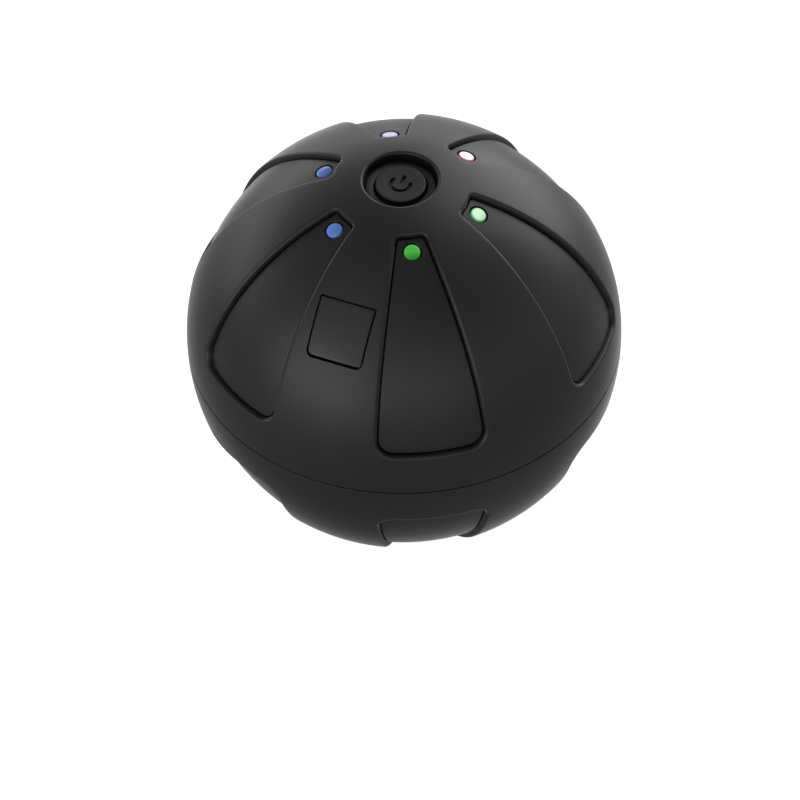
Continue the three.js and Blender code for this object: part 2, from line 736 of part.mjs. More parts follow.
// A brush on the +Y side of the commutator, or on its -Y side.
function brush(side) {
  const { half, length, back, front } = BRUSH;
  const middle = COMMUTATOR.radius + FIT + length / 2;
  const upright = block(-half, half, -length / 2, length / 2, back, front);
  return solid(upright.translate(0, side * middle, 0));
}

addPiece("armature_core", armatureCore(), STEEL, motor);
addPiece("armature_windings", armatureWindings(), COPPER, motor);
addPiece("commutator", commutator(), COPPER, motor);
addPiece("brush_1", brush(1), MAGNETIC, motor);
addPiece("brush_2", brush(-1), MAGNETIC, motor);

// Most of a half disc, hanging down from its hub.
function weightShape() {
  const shape = new THREE.Shape();
  shape.absarc(0, 0, WEIGHT.radius, rad(-WEIGHT.half), rad(WEIGHT.half));
  shape.absarc(0, 0, WEIGHT.hub, rad(90), rad(270));
  shape.holes.push(new THREE.Path().absarc(0, 0, BORE_R, 0, 2 * Math.PI, true));
  return shape;
}
addPiece("weight_left", solid(extruded(weightShape(), -WEIGHT.far, -WEIGHT.near, 8)), ZINC, motor);
addPiece("weight_right", solid(extruded(weightShape(), WEIGHT.near, WEIGHT.far, 8)), ZINC, motor);

// ---- Chassis ----

const motorHole = rod(CAN_R + FIT, -CHASSIS_X - PAST, CHASSIS_X + PAST, MEDIUM);
const motorSpace = solid(motorHole.rotateY(Math.PI / 2).translate(0, 0, MOTOR_Z));
const splitTop = MOTOR_Z + FIT / 2;
const splitBottom = MOTOR_Z - FIT / 2;
const CHASSIS_SCREW = { y: 18, radius: 1, end: -13.8 };
const CHASSIS_BOSS_R = 3.5;
const CONTACT = { half: 0.15, reach: 13, bottom: 6, top: 18 };
const CELL_STOP = { near: TRAY.x + CONTACT.half + FIT, far: TRAY.x + 2, half: 14, top: 12 };
const chassisDrill = (bottom, top) =>
  [180, 0].map((azimuth) => drilling(azimuth, CHASSIS_SCREW.y, CHASSIS_SCREW.radius + FIT, bottom, top));

function chassisUpper() {
  const { near, far, half, top } = CELL_STOP;
  const stops = [
    block(-far, -near, -half, half, TRAY.bottom, top),
    block(near, far, -half, half, TRAY.bottom, top),
  ];
  const whole = join(
    solid(block(-CHASSIS_X, CHASSIS_X, -CHASSIS_Y, CHASSIS_Y, splitTop, TRAY.top)),
    solid(block(-CHASSIS_X, CHASSIS_X, -FLANGE_Y, FLANGE_Y, splitTop, splitTop + FLANGE_T)),
    solid(block(-far, far, -TRAY.y, TRAY.y, TRAY.bottom, TRAY.top)),
    ...stops.map(solid),
  );
  return cut(whole, motorSpace, ...chassisDrill(splitTop - PAST, splitTop + FLANGE_T + PAST));
}

function chassisLower() {
  const screwHole = solid(rod(FOOT_SCREW.radius + FIT, -SHELL_IN, FOOT_SCREW.end + FIT, COARSE));
  const whole = join(
    solid(block(-CHASSIS_X, CHASSIS_X, -CHASSIS_Y, CHASSIS_Y, CHASSIS_BOTTOM, splitBottom)),
    solid(block(-CHASSIS_X, CHASSIS_X, -FLANGE_Y, FLANGE_Y, splitBottom - 2 * FLANGE_T, splitBottom)),
    solid(rod(CHASSIS_BOSS_R, PEDESTAL.top + FIT, CHASSIS_BOTTOM + PAST)),
  );
  const drills = chassisDrill(CHASSIS_SCREW.end - FIT, splitBottom + PAST);
  return cut(whole, motorSpace, screwHole, ...drills);
}

addPiece("chassis_upper", chassisUpper(), PLASTIC);
addPiece("chassis_lower", chassisLower(), PLASTIC);
[1, -1].forEach((side, k) => {
  const seat = splitTop + FLANGE_T + REST;
  const { radius, end } = CHASSIS_SCREW;
  const body = mirroredDown(screw(radius, -seat - SCREW_HEAD.height, -seat, -end));
  addScrew("chassis_screw_" + (k + 1), body, 0, side * CHASSIS_SCREW.y);
});

// ---- Battery ----

const CELL_NUB = { radius: 3, height: 1, slope: 0.2 };

// A cell along X, its raised terminal to the right, or to the left.
function cell(side) {
  const end = CELL.length / 2;
  const shoulder = end - CELL_NUB.height;
  const outline = section([
    [0, -end],
    [CELL.radius, -end],
    [CELL.radius, shoulder - CELL_NUB.slope],
    [CELL_NUB.radius, shoulder],
    [CELL_NUB.radius, end],
    [0, end],
  ]);
  const body = turned(outline).rotateY((side * Math.PI) / 2);
  return solid(body.translate(0, side * CELL.y, CELL.z));
}

addPiece("battery_cell_1", cell(1), WRAPPER);
addPiece("battery_cell_2", cell(-1), WRAPPER);

const RETAINER = { x: 6, leg: 1.5, bottom: TRAY.top + 2 * REST, top: 23.2, thickness: 1.6 };
const underBridge = RETAINER.top - RETAINER.thickness;
const legInner = TRAY.y - RETAINER.leg;
const cutX = RETAINER.x + PAST;
const retainer = cut(
  solid(block(-RETAINER.x, RETAINER.x, -TRAY.y, TRAY.y, RETAINER.bottom, RETAINER.top)),
  solid(block(-cutX, cutX, -legInner, legInner, RETAINER.bottom - PAST, underBridge)),
);
addPiece("battery_retainer", retainer, PLASTIC);

for (const [side, x] of [["left", -TRAY.x], ["right", TRAY.x]]) {
  const { half, reach, bottom, top } = CONTACT;
  const strip = block(x - half, x + half, -reach, reach, bottom, top);
  addPiece("battery_contact_" + side, solid(strip), STEEL);
}

// ---- Leads from the motor to the control board ----

const LEAD_R = 0.6;

// A lead on the +Y side, or on the -Y side.
function lead(side) {
  const route = [
    [13.5, 13.4, -9],
    [13.5, 16.5, -5],
    [13.5, 20.3, 4],
    [13, 20.3, 13],
    [12, 17.5, 21],
    [11, 12, 25.7],
  ].map(([x, y, z]) => new THREE.Vector3(x, side * y, z));
  const wire = new THREE.Shape().absarc(0, 0, LEAD_R, 0, 2 * Math.PI);
  const path = new THREE.CatmullRomCurve3(route);
  return solid(new THREE.ExtrudeGeometry(wire, { steps: 16, curveSegments: 4, extrudePath: path }));
}
addPiece("motor_lead_red", lead(1), finish(0xb3262a, 0.5));
addPiece("motor_lead_black", lead(-1), finish(0x1c1c1e, 0.5));

export default group;
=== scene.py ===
"""Looks of the massage ball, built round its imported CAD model.

Lengths in the code are millimetres until a mesh is made, and metres from then on. +Z is up, the
front petal faces -Y, and the origin is the centre of the ball. Polar angles are measured from the
pole and azimuths from the front towards +X, in degrees.
"""

import json
import math

import bmesh
import bpy
from mathutils import Matrix, Vector


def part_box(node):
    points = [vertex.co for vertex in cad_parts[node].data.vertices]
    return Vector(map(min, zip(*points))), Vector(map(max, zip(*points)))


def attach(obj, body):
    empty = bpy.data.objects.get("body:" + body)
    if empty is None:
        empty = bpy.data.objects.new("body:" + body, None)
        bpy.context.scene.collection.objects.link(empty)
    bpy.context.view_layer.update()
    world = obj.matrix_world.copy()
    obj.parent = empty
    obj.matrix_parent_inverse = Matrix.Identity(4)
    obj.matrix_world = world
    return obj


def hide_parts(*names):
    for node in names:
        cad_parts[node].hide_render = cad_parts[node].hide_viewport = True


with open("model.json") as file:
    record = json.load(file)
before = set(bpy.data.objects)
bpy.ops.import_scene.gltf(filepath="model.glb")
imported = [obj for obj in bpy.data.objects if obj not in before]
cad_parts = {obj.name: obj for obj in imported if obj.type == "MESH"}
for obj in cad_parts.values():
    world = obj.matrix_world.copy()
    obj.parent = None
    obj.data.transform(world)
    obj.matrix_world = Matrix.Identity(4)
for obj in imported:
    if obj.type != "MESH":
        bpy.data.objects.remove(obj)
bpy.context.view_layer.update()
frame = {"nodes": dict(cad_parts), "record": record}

MM = 0.001
BALL = "ball"  # the body that everything fixed rides on


# ---- Driving dimensions ----

BALL_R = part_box("upper_skin")[1][0] / MM
FLOOR_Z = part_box("foot_cap")[0][2] / MM
SKIN_IN = BALL_R - 3  # inner face of the rubber
SEAM = 0.3
SEAM_EDGE = 0.14  # rounding of the skins' edges at the seam

PETALS = 6
PETAL_STEP = 360 / PETALS
PETAL_DEPTH = 1.0
PETAL_TOP = 18.5
PETAL_FOOT = 77.7
PETAL_HALF_TOP = 12.0
PETAL_HALF_FOOT = 15.0
PETAL_BULGE = 0.8  # how much further out a side is halfway down than a straight one
PETAL_TOP_CORNER = 1.0
PETAL_FOOT_CORNER = 3.2
PETAL_DRAFT = 0.06  # how far the wall leans each way from its middle
PETAL_LIP = 0.6  # rounding where the rib turns into the wall
PETAL_GROOVE = 0.27  # width of the groove between the wall and the floor
PETAL_GROOVE_DEPTH = 0.42
PETAL_FLOOR_EDGE = 0.12  # rounding where the floor turns into the groove
PETAL_GROOVE_CORNER = 0.08
PETAL_RIM = 1.0  # width of the rib, and of the floor, that belongs to the wall's profile
PETAL_FLOOR_RIM = 0.45

WELL_R = 6.6
WELL_LIP = 0.53
WELL_FLOOR_Z = 37.15
WELL_DISH = 0.1  # how much lower the floor of the well is at its inner edge
WELL_GROOVE = 0.35  # width and depth of the groove round the floor of the well
CROWN_UNDER = 35.9
RIM_Z = math.sqrt(BALL_R**2 - (WELL_R + WELL_LIP) ** 2)
FOOT_HOLE_R = 5.9

BUTTON_R = 4.5
BUTTON_FLANGE_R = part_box("power_button")[1][0] / MM
BUTTON_TOP_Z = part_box("power_button")[1][2] / MM
BUTTON_HOLE_R = 4.8
BUTTON_STEM_R = 1.8
FLANGE_BOTTOM = 32.4
FLANGE_TOP = 33.1
BUTTON_CORNER = 0.15
BUTTON_EDGE = 0.22  # rounding of the edge of its face
SYMBOL_R = 1.73
SYMBOL_LINE = 0.7
SYMBOL_DEPTH = 0.6
SYMBOL_TURN = -30
SYMBOL_OPENING = 67  # half angle of the gap in the symbol's ring
STROKE_FROM = 0.45
STROKE_TO = SYMBOL_R + 0.2

LAMP_POLAR = 22.6
LENS_R = 1.45
LENS_SUNK = 0.15  # edge of the lens below the floor of the petal
LENS_DOME = 0.25
LENS_HOLE_R = 1.75
LENS_HOLE_EDGE = 0.1  # chamfer round the hole
PIPE_START = 31.9

PORT_POLAR = 45.7
PORT_AZIMUTH = -30
COVER_W = 10.0
COVER_H = 10.4
COVER_T = 1.6
COVER_CORNER = 1.0
COVER_EDGE = 0.08
COVER_TOP_CORNER = 0.2
COVER_GAP = 0.3
COVER_FOOT_GAP = 0.5  # wider, for a fingernail
PAD_HALF_W = 4.2  # the pad behind the cover, which seals the socket
PAD_HALF_H = 1.5
PAD_T = 0.9
PAD_EDGE = 0.15

FOOT_CAP_R = FOOT_HOLE_R - 0.2
FOOT_CAP_TOP = 36.5
FOOT_RINGS = (3.9, 5.0)  # outer radii of the two grooves in its face
FOOT_RING_DEPTH = 0.12
FOOT_RING_CORNER = 0.08


# ---- Points and profiles ----


def on_ball(radius, polar, azimuth):
    p, a = math.radians(polar), math.radians(azimuth)
    return Vector((math.sin(p) * math.sin(a), -math.sin(p) * math.cos(a), math.cos(p))) * radius


def facing(polar, azimuth):
    """Axes at a place on the ball: X sideways, Y up along the surface, Z outwards."""
    out = on_ball(1, polar, azimuth)
    a = math.radians(azimuth)
    side = Vector((math.cos(a), math.sin(a), 0))
    return Matrix((side, out.cross(side), out)).transposed().to_4x4()


def polar_of_z(radius, z):
    return math.degrees(math.acos(z / radius))


def arc(radius, from_polar, to_polar, steps):
    """(reach, height) points of a circle about the centre of the ball."""
    turns = [math.radians(from_polar + (to_polar - from_polar) * k / steps) for k in range(steps + 1)]
    return [(radius * math.sin(t), radius * math.cos(t)) for t in turns]


def rounded(corners, steps=5):
    """Points of a path through corners (x, y, radius), with each corner turned into an arc."""
    points = []
    for k, (x, y, radius) in enumerate(corners):
        here = Vector((x, y))
        if not radius:
            points.append(tuple(here))
            continue
        back = (Vector(corners[k - 1][:2]) - here).normalized()
        ahead = (Vector(corners[k + 1][:2]) - here).normalized()
        half = math.acos(max(-1, min(1, back.dot(ahead)))) / 2
        centre = here + (back + ahead).normalized() * radius / math.sin(half)
        start = here + back * radius / math.tan(half) - centre
        end = here + ahead * radius / math.tan(half) - centre
        sweep = math.atan2(start.cross(end), start.dot(end))
        for step in range(steps + 1):
            turn = sweep * step / steps
            c, s = math.cos(turn), math.sin(turn)
            points.append((centre.x + start.x * c - start.y * s, centre.y + start.x * s + start.y * c))
    return points


# ---- Meshes ----


def make_piece(name, verts, faces, body=BALL, place=None, weld=True):
    """A smooth-shaded object from millimetre points, riding on a body."""
    mesh = bpy.data.meshes.new(name)
    mesh.from_pydata([Vector(v) * MM for v in verts], [], faces)
    if place:
        mesh.transform(Matrix.Scale(MM, 4) @ place @ Matrix.Scale(1 / MM, 4))
    if weld:
        tidy_mesh(mesh)
    piece = bpy.data.objects.new(name, mesh)
    bpy.context.collection.objects.link(piece)
    mesh.shade_smooth()
    mesh.set_sharp_from_angle(angle=math.radians(35))
    if body:
        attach(piece, body)
    return piece


def tidy_mesh(mesh):
    """Welds points that coincide, and turns every face outwards."""
    work = bmesh.new()
    work.from_mesh(mesh)
    bmesh.ops.remove_doubles(work, verts=work.verts, dist=0.002 * MM)
    bmesh.ops.dissolve_degenerate(work, edges=work.edges, dist=0.0005 * MM)
    bmesh.ops.recalc_face_normals(work, faces=work.faces)
    work.to_mesh(mesh)
    work.free()


def loops_to_faces(loops, close_ends=(False, False)):
    """Points and faces of a stack of closed loops with the same number of points each."""
    count = len(loops[0])
    verts = [point for loop in loops for point in loop]
    faces = []
    for k in range(len(loops) - 1):
        a, b = k * count, (k + 1) * count
        for j in range(count):
            n = (j + 1) % count
            faces.append((a + j, a + n, b + n, b + j))
    if close_ends[0]:
        faces.append(tuple(range(count)))
    if close_ends[1]:
        last = (len(loops) - 1) * count
        faces.append(tuple(last + j for j in range(count)))
    return verts, faces


def turned_loops(profile, sides):
    """Loops of (reach, height) points turned about Z, the first point of each at the front."""
    return [[on_circle(r, z, 360 * j / sides) for j in range(sides)] for r, z in profile]


def on_circle(reach, z, azimuth):
    a = math.radians(azimuth)
    return Vector((reach * math.sin(a), -reach * math.cos(a), z))


def make_turned(name, profile, sides, body=BALL, place=None):
    """A solid of revolution. A profile that starts or ends on the axis closes there."""
    profile = [(max(r, 1e-4), z) for r, z in profile]
    verts, faces = loops_to_faces(turned_loops(profile, sides))
    return make_piece(name, verts, faces, body, place)


def cut_away(piece, tools):
    """Cuts the tools out of a piece and removes them."""
    for tool in tools:
        cut = piece.modifiers.new("cut", "BOOLEAN")
        cut.object = tool
        cut.operation = "DIFFERENCE"
        cut.solver = "EXACT"
    bpy.context.view_layer.update()
    shaped = piece.evaluated_get(bpy.context.evaluated_depsgraph_get())
    mesh = bpy.data.meshes.new_from_object(shaped)
    piece.modifiers.clear()
    piece.data = mesh
    mesh.shade_smooth()
    mesh.set_sharp_from_angle(angle=math.radians(35))
    for tool in tools:
        bpy.data.objects.remove(tool)


# ---- Skins ----

TOP_HALF = 12  # steps along half of a sector's top edge, and of its bottom edge
SIDE = 52
TOP_CORNER_STEPS = 6
FOOT_CORNER_STEPS = 10
SIDES = PETALS * TOP_HALF * 2


def petal_side_width(polar):
    """Half the width of a petal in azimuth, before its corners are rounded."""
    share = (polar - PETAL_TOP) / (PETAL_FOOT - PETAL_TOP)
    straight = PETAL_HALF_TOP + share * (PETAL_HALF_FOOT - PETAL_HALF_TOP)
    return straight + 4 * PETAL_BULGE * share * (1 - share)


def petal_half_outline():
    """(azimuth, polar) from the middle of the petal's top edge down its right side to its foot."""

    def corner(radius, steps, end, into):
        """The rounded corner, from the end of the petal to its side."""
        out = []
        for k in range(steps + 1):
            turn = math.pi / 2 * k / steps
            polar = end + into * math.degrees(radius * (1 - math.cos(turn)) / BALL_R)
            reach = BALL_R * math.sin(math.radians(polar))
            inset = math.degrees(radius * (1 - math.sin(turn)) / reach)
            out.append((petal_side_width(polar) - inset, polar))
        return out

    top = corner(PETAL_TOP_CORNER, TOP_CORNER_STEPS, PETAL_TOP, 1)
    foot = corner(PETAL_FOOT_CORNER, FOOT_CORNER_STEPS, PETAL_FOOT, -1)[::-1]
    top_edge = TOP_HALF - TOP_CORNER_STEPS // 2
    foot_edge = TOP_HALF - FOOT_CORNER_STEPS // 2
    side = SIDE - TOP_CORNER_STEPS // 2 - FOOT_CORNER_STEPS // 2
    outline = [(top[0][0] * k / top_edge, PETAL_TOP) for k in range(top_edge)]
    outline += top
    for k in range(1, side):
        polar = top[-1][1] + (foot[0][1] - top[-1][1]) * k / side
        outline.append((petal_side_width(polar), polar))
    outline += foot
    outline += [(foot[-1][0] * (1 - k / foot_edge), PETAL_FOOT) for k in range(1, foot_edge + 1)]
    return outline


def sector_half_outline(top_polar, foot_polar):
    """The edge of the sixth of the skin round a petal, point for point with the petal's outline."""
    half = PETAL_STEP / 2
    outline = [(half * k / TOP_HALF, top_polar) for k in range(TOP_HALF)]
    outline += [(half, top_polar + (foot_polar - top_polar) * k / SIDE) for k in range(SIDE)]
    outline += [(half * (1 - k / TOP_HALF), foot_polar) for k in range(TOP_HALF + 1)]
    return outline


def whole_outline(half):
    """A closed loop from its right half."""
    return half + [(-a, p) for a, p in half[-2:0:-1]]


def wall_profile():
    """(distance outside the petal's outline, depth) from the rib down to the floor."""
    groove_floor = PETAL_DEPTH + PETAL_GROOVE_DEPTH
    inner = -PETAL_DRAFT - PETAL_GROOVE
    corners = [
        (PETAL_RIM, 0, 0),
        (PETAL_DRAFT, 0, PETAL_LIP),
        (-PETAL_DRAFT, groove_floor, PETAL_GROOVE_CORNER),
        (inner, groove_floor, PETAL_GROOVE_CORNER),
        (inner - 0.03, PETAL_DEPTH, PETAL_FLOOR_EDGE),
        (inner - PETAL_FLOOR_RIM, PETAL_DEPTH, 0),
    ]
    return rounded(corners, steps=6)


def sector_loops(top_polar, foot_polar):
    """Loops from the edge of a sector over the rib, down the wall and across the petal's floor."""
    petal = whole_outline(petal_half_outline())
    edge = whole_outline(sector_half_outline(top_polar, foot_polar))
    directions = [on_ball(1, p, a) for a, p in petal]
    count = len(petal)
    outwards = []
    for j in range(count):
        along = directions[(j + 1) % count] - directions[j - 1]
        outwards.append(directions[j].cross(along).normalized())
    if outwards[0].z < 0:
        outwards = [-out for out in outwards]

    def offset(distance, depth):
        turn = distance / BALL_R
        c, s = math.cos(turn), math.sin(turn)
        return [(d * c + n * s) * (BALL_R - depth) for d, n in zip(directions, outwards)]

    wall = [offset(distance, depth) for distance, depth in wall_profile()]
    edge_points = [on_ball(BALL_R, p, a) for a, p in edge]
    rib = blend_loops(edge_points, wall[0], 9, BALL_R)
    margin = 3.0
    spine = []
    for _, p in petal:
        spine.append(on_ball(BALL_R - PETAL_DEPTH, max(PETAL_TOP + margin, min(PETAL_FOOT - 14, p)), 0))
    floor = blend_loops(wall[-1], spine, 8, BALL_R - PETAL_DEPTH)
    return rib[:-1] + wall + floor[1:]


def blend_loops(start, end, steps, radius):
    """Loops between two on a sphere."""
    loops = []
    for k in range(steps + 1):
        share = k / steps
        loops.append([a.lerp(b, share).normalized() * radius for a, b in zip(start, end)])
    return loops


def make_skin(name, pole_profile, mirrored, tools=()):
    """One half of the rubber skin. The pole profile runs from the rim inwards to the underside."""
    lip_r = WELL_R + WELL_LIP
    top_polar = math.degrees(math.asin(lip_r / BALL_R))
    foot_polar = polar_of_z(BALL_R, SEAM / 2 + SEAM_EDGE)
    one_verts, one_faces = loops_to_faces(sector_loops(top_polar, foot_polar))
    verts, faces = [], []
    for k in range(PETALS):
        spin = Matrix.Rotation(math.radians(k * PETAL_STEP), 3, "Z")
        start = len(verts)
        verts += [spin @ v for v in one_verts]
        faces += [tuple(i + start for i in face) for face in one_faces]

    under_polar = polar_of_z(SKIN_IN, CROWN_UNDER)
    seam = SEAM / 2
    edge_r = BALL_R * math.sin(math.radians(foot_polar))
    seam_corners = [(edge_r, seam + SEAM_EDGE, 0), (edge_r, seam, SEAM_EDGE * 0.9), (SKIN_IN, seam, 0)]
    seam_edge = rounded(seam_corners, 4)
    inside = arc(SKIN_IN, polar_of_z(SKIN_IN, seam), under_polar, 14)
    for profile in (pole_profile, seam_edge + inside[1:]):
        more_verts, more_faces = loops_to_faces(turned_loops(profile, SIDES))
        start = len(verts)
        verts += more_verts
        faces += [tuple(i + start for i in face) for face in more_faces]
    if mirrored:
        verts = [Vector((v.x, v.y, -v.z)) for v in verts]
    skin = make_piece(name, verts, faces)
    if tools:
        cut_away(skin, tools)
    return skin


def well_profile():
    """From the rim of the button well down its wall, over its floor and through the skin."""
    lip_r = WELL_R + WELL_LIP
    inner_z = WELL_FLOOR_Z - WELL_DISH
    return rounded(
        [
            (lip_r, RIM_Z, 0),
            (WELL_R + 0.02, RIM_Z + 0.06, WELL_LIP * 0.92),
            (WELL_R, WELL_FLOOR_Z - WELL_GROOVE, 0.1),
            (WELL_R - WELL_GROOVE, WELL_FLOOR_Z - WELL_GROOVE, 0.1),
            (WELL_R - WELL_GROOVE - 0.05, WELL_FLOOR_Z, 0.15),
            (BUTTON_HOLE_R, inner_z, 0.12),
            (BUTTON_HOLE_R, CROWN_UNDER, 0),
            (math.sqrt(SKIN_IN**2 - CROWN_UNDER**2), CROWN_UNDER, 0),
        ]
    )


def foot_profile():
    """From the rim of the flat foot to the hole for its cap, and through the skin."""
    lip_r = WELL_R + WELL_LIP
    return rounded(
        [
            (lip_r, RIM_Z, 0),
            (FOOT_HOLE_R, RIM_Z, 0.15),
            (FOOT_HOLE_R, CROWN_UNDER, 0),
            (math.sqrt(SKIN_IN**2 - CROWN_UNDER**2), CROWN_UNDER, 0),
        ]
    )


def lens_hole_tool(k):
    floor = BALL_R - PETAL_DEPTH
    wide = LENS_HOLE_R + LENS_HOLE_EDGE + 0.1
    profile = [
        (0, PIPE_START),
        (LENS_HOLE_R, PIPE_START),
        (LENS_HOLE_R, floor - LENS_HOLE_EDGE),
        (wide, floor + 0.1),
        (wide, BALL_R + 2),
        (0, BALL_R + 2),
    ]
    place = facing(LAMP_POLAR, k * PETAL_STEP)
    return make_turned("lens_hole", profile, 48, body=None, place=place)


def square_outline(half_w, top, foot, corner, steps=6):
    """A loop (x, y): a square with rounded lower corners and nearly sharp upper ones."""
    corners = [
        (half_w, top, COVER_TOP_CORNER),
        (-half_w, top, COVER_TOP_CORNER),
        (-half_w, -foot, corner),
        (half_w, -foot, corner),
    ]
    ring = corners[-1:] + corners + corners[:1]
    loop = []
    for k in range(1, 5):
        loop += rounded([(*ring[k - 1][:2], 0), ring[k], (*ring[k + 1][:2], 0)], steps)[1:-1]
    return resample(loop)


def resample(loop, longest=0.7):
    """Adds points so that no side of a closed loop is longer than this."""
    out = []
    for k, (x, y) in enumerate(loop):
        nx, ny = loop[(k + 1) % len(loop)]
        pieces = max(1, math.ceil(math.hypot(nx - x, ny - y) / longest))
        out += [(x + (nx - x) * j / pieces, y + (ny - y) * j / pieces) for j in range(pieces)]
    return out


def port_hole_tool():
    loop = square_outline(
        COVER_W / 2 + COVER_GAP,
        COVER_H / 2 + COVER_GAP,
        COVER_H / 2 + COVER_FOOT_GAP,
        COVER_CORNER + COVER_GAP,
    )
    loops = [[Vector((x, y, z)) for x, y in loop] for z in (PIPE_START, BALL_R + 2)]
    verts, faces = loops_to_faces(loops, (True, True))
    return make_piece("port_hole", verts, faces, body=None, place=facing(PORT_POLAR, PORT_AZIMUTH))


def build_skins():
    tools = [lens_hole_tool(k) for k in range(PETALS)] + [port_hole_tool()]
    upper = make_skin("upper_skin_rubber", well_profile(), False, tools)
    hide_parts("upper_skin")
    lower = make_skin("lower_skin_rubber", foot_profile(), True)
    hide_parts("lower_skin")
    return upper, lower


# ---- Port cover ----


def build_port_cover():
    """A square rubber flap, curved as the ball is, with a pad behind it that seals the socket."""
    outline = square_outline(COVER_W / 2, COVER_H / 2, COVER_H / 2, COVER_CORNER)
    inner = BALL_R - COVER_T

    def scaled(share, radius):
        """The outline shrunk towards its middle and laid on a sphere."""
        points = [(x * share, y * share) for x, y in outline]
        return [Vector((x, y, math.sqrt(radius**2 - x * x - y * y))) for x, y in points]

    def inset(distance, radius):
        """The outline with its sides moved in by a distance."""
        points = []
        for x, y in outline:
            points.append((x * (1 - 2 * distance / COVER_W), y * (1 - 2 * distance / COVER_H)))
        return [Vector((x, y, math.sqrt(radius**2 - x * x - y * y))) for x, y in points]

    def pad(distance, z):
        """A bar with round ends, point for point with the outline."""
        loop = []
        straight = PAD_HALF_W - PAD_HALF_H
        for x, y in outline:
            cx = max(-straight, min(straight, x * straight / (COVER_W / 2)))
            direction = Vector((x - cx * 0.4, y)).normalized()
            radius = PAD_HALF_H - distance
            if abs(x) > COVER_W / 2 - 1e-3:
                loop.append(Vector((cx + direction.x * radius, direction.y * radius, z)))
            else:
                loop.append(Vector((cx, math.copysign(radius, y), z)))
        return loop

    rim = 0.6
    face_steps = 12
    loops = [scaled(k / face_steps, BALL_R) for k in range(1, face_steps - 1)]
    side = [(rim, 0, 0), (0, 0, COVER_EDGE), (0, COVER_T, COVER_EDGE), (rim, COVER_T, 0)]
    loops += [inset(distance, BALL_R - depth) for distance, depth in rounded(side, 4)]
    loops.append(scaled(0.62, inner))
    pad_side = [(-0.8, 0, 0), (0, 0, PAD_EDGE), (0, PAD_T, PAD_EDGE), (rim, PAD_T, 0)]
    loops += [pad(distance, inner - height) for distance, height in rounded(pad_side, 4)[1:]]
    verts, faces = loops_to_faces(loops, (True, True))
    cover = make_piece("port_cover_flap", verts, faces, "cover", facing(PORT_POLAR, PORT_AZIMUTH))
    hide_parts("port_cover")
    return cover


# ---- Power button ----


def build_button():
    foot_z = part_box("power_button")[0][2] / MM
    profile = rounded(
        [
            (0, foot_z, 0),
            (BUTTON_STEM_R, foot_z, BUTTON_CORNER),
            (BUTTON_STEM_R, FLANGE_BOTTOM, BUTTON_CORNER),
            (BUTTON_FLANGE_R, FLANGE_BOTTOM, BUTTON_CORNER),
            (BUTTON_FLANGE_R, FLANGE_TOP, BUTTON_CORNER),
            (BUTTON_R, FLANGE_TOP, BUTTON_CORNER),
            (BUTTON_R, BUTTON_TOP_Z, BUTTON_EDGE),
            (BUTTON_R - 1.2, BUTTON_TOP_Z - 0.06, 0),
            (0, BUTTON_TOP_Z - 0.14, 0),
        ]
    )
    button = make_turned("button_cap", profile, 96, "button")
    cut_away(button, symbol_tools())
    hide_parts("power_button")
    return button


def symbol_tools():
    """A ring with a gap at the top and a stroke through the gap, both with round ends."""
    turns = spread(math.radians(90 + SYMBOL_OPENING), math.radians(450 - SYMBOL_OPENING), 41)
    ring = [(SYMBOL_R * math.cos(t), SYMBOL_R * math.sin(t)) for t in turns]
    stroke = [(0, y) for y in spread(STROKE_FROM, STROKE_TO, 7)]
    tools = []
    for path in (ring, stroke):
        outline = thick_line(path, SYMBOL_LINE / 2)
        levels = (BUTTON_TOP_Z - SYMBOL_DEPTH - 0.1, BUTTON_TOP_Z + 1)
        loops = [[Vector((x, y, z)) for x, y in outline] for z in levels]
        verts, faces = loops_to_faces(loops, (True, True))
        turn = Matrix.Rotation(math.radians(SYMBOL_TURN), 4, "Z")
        tools.append(make_piece("symbol", verts, faces, body=None, place=turn))
    return tools


def thick_line(path, half):
    """The outline of a line of points drawn with a round pen."""
    left, right = [], []
    for k, (x, y) in enumerate(path):
        ahead = Vector(path[min(k + 1, len(path) - 1)])
        back = Vector(path[max(k - 1, 0)])
        side = (ahead - back).normalized().orthogonal() * half
        left.append((x + side.x, y + side.y))
        right.append((x - side.x, y - side.y))

    def cap(centre, start):
        """Half a circle round an end of the line."""
        spoke = Vector(start) - Vector(centre)
        points = []
        for k in range(1, 8):
            turn = -math.pi * k / 8
            c, s = math.cos(turn), math.sin(turn)
            x = centre[0] + spoke.x * c - spoke.y * s
            y = centre[1] + spoke.x * s + spoke.y * c
            points.append((x, y))
        return points

    return left + cap(path[-1], left[-1]) + right[::-1] + cap(path[0], right[0])


# ---- Lenses and foot cap ----


def build_lenses():
    """The domed ends of the light pipes, one at the top of each petal."""
    edge = BALL_R - PETAL_DEPTH - LENS_SUNK
    lenses = []
    for k in range(PETALS):
        turns = spread(0, math.pi / 2, 9)
        dome = [(LENS_R * math.cos(t), edge + LENS_DOME * math.sin(t)) for t in turns]
        profile = [(0, PIPE_START), (LENS_R, PIPE_START), (LENS_R, edge - 0.1)] + dome
        name = f"lens_{k + 1}"
        lens = make_turned(name, profile, 48, BALL, facing(LAMP_POLAR, k * PETAL_STEP))
        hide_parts(f"light_pipe_{k + 1}")
        lenses.append(lens)
    return lenses


def spread(start, end, count):
    return [start + (end - start) * k / (count - 1) for k in range(count)]


